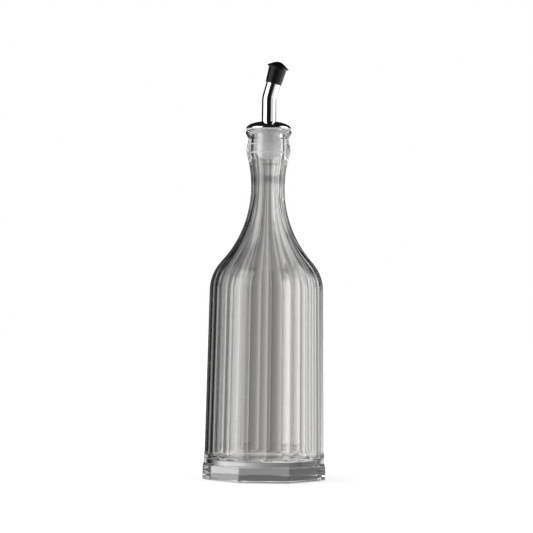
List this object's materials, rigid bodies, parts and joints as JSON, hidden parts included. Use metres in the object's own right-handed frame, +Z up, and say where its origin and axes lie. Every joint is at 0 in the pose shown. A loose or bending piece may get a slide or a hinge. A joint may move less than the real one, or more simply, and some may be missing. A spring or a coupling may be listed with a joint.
{
  "type": "oil bottle with pourer",
  "caption": "Clear empty bottle with faceted sides on a polygonal foot, closed by a ribbed stopper with a domed metal disc, bent pouring tube and push-on cap.",
  "frame": {"origin": "centre of the foot's underside, on the surface it stands on", "axes": "+Z up the bottle's axis; one flat of the foot faces -Y, and the pourer bends towards +X"},
  "size_m": [0.0874, 0.0874, 0.2996],
  "materials": {
    "clear_body": "clear moulded acrylic, polished",
    "stopper_plastic": "translucent natural polyethylene",
    "spout_metal": "polished stainless steel",
    "cap_black": "satin black"
  },
  "bodies": {
    "root": {"bottle": "clear_body", "stopper": "stopper_plastic", "spout_disc": "spout_metal", "spout_tube": "spout_metal", "spout_cap": "cap_black"}
  },
  "joints": []
}
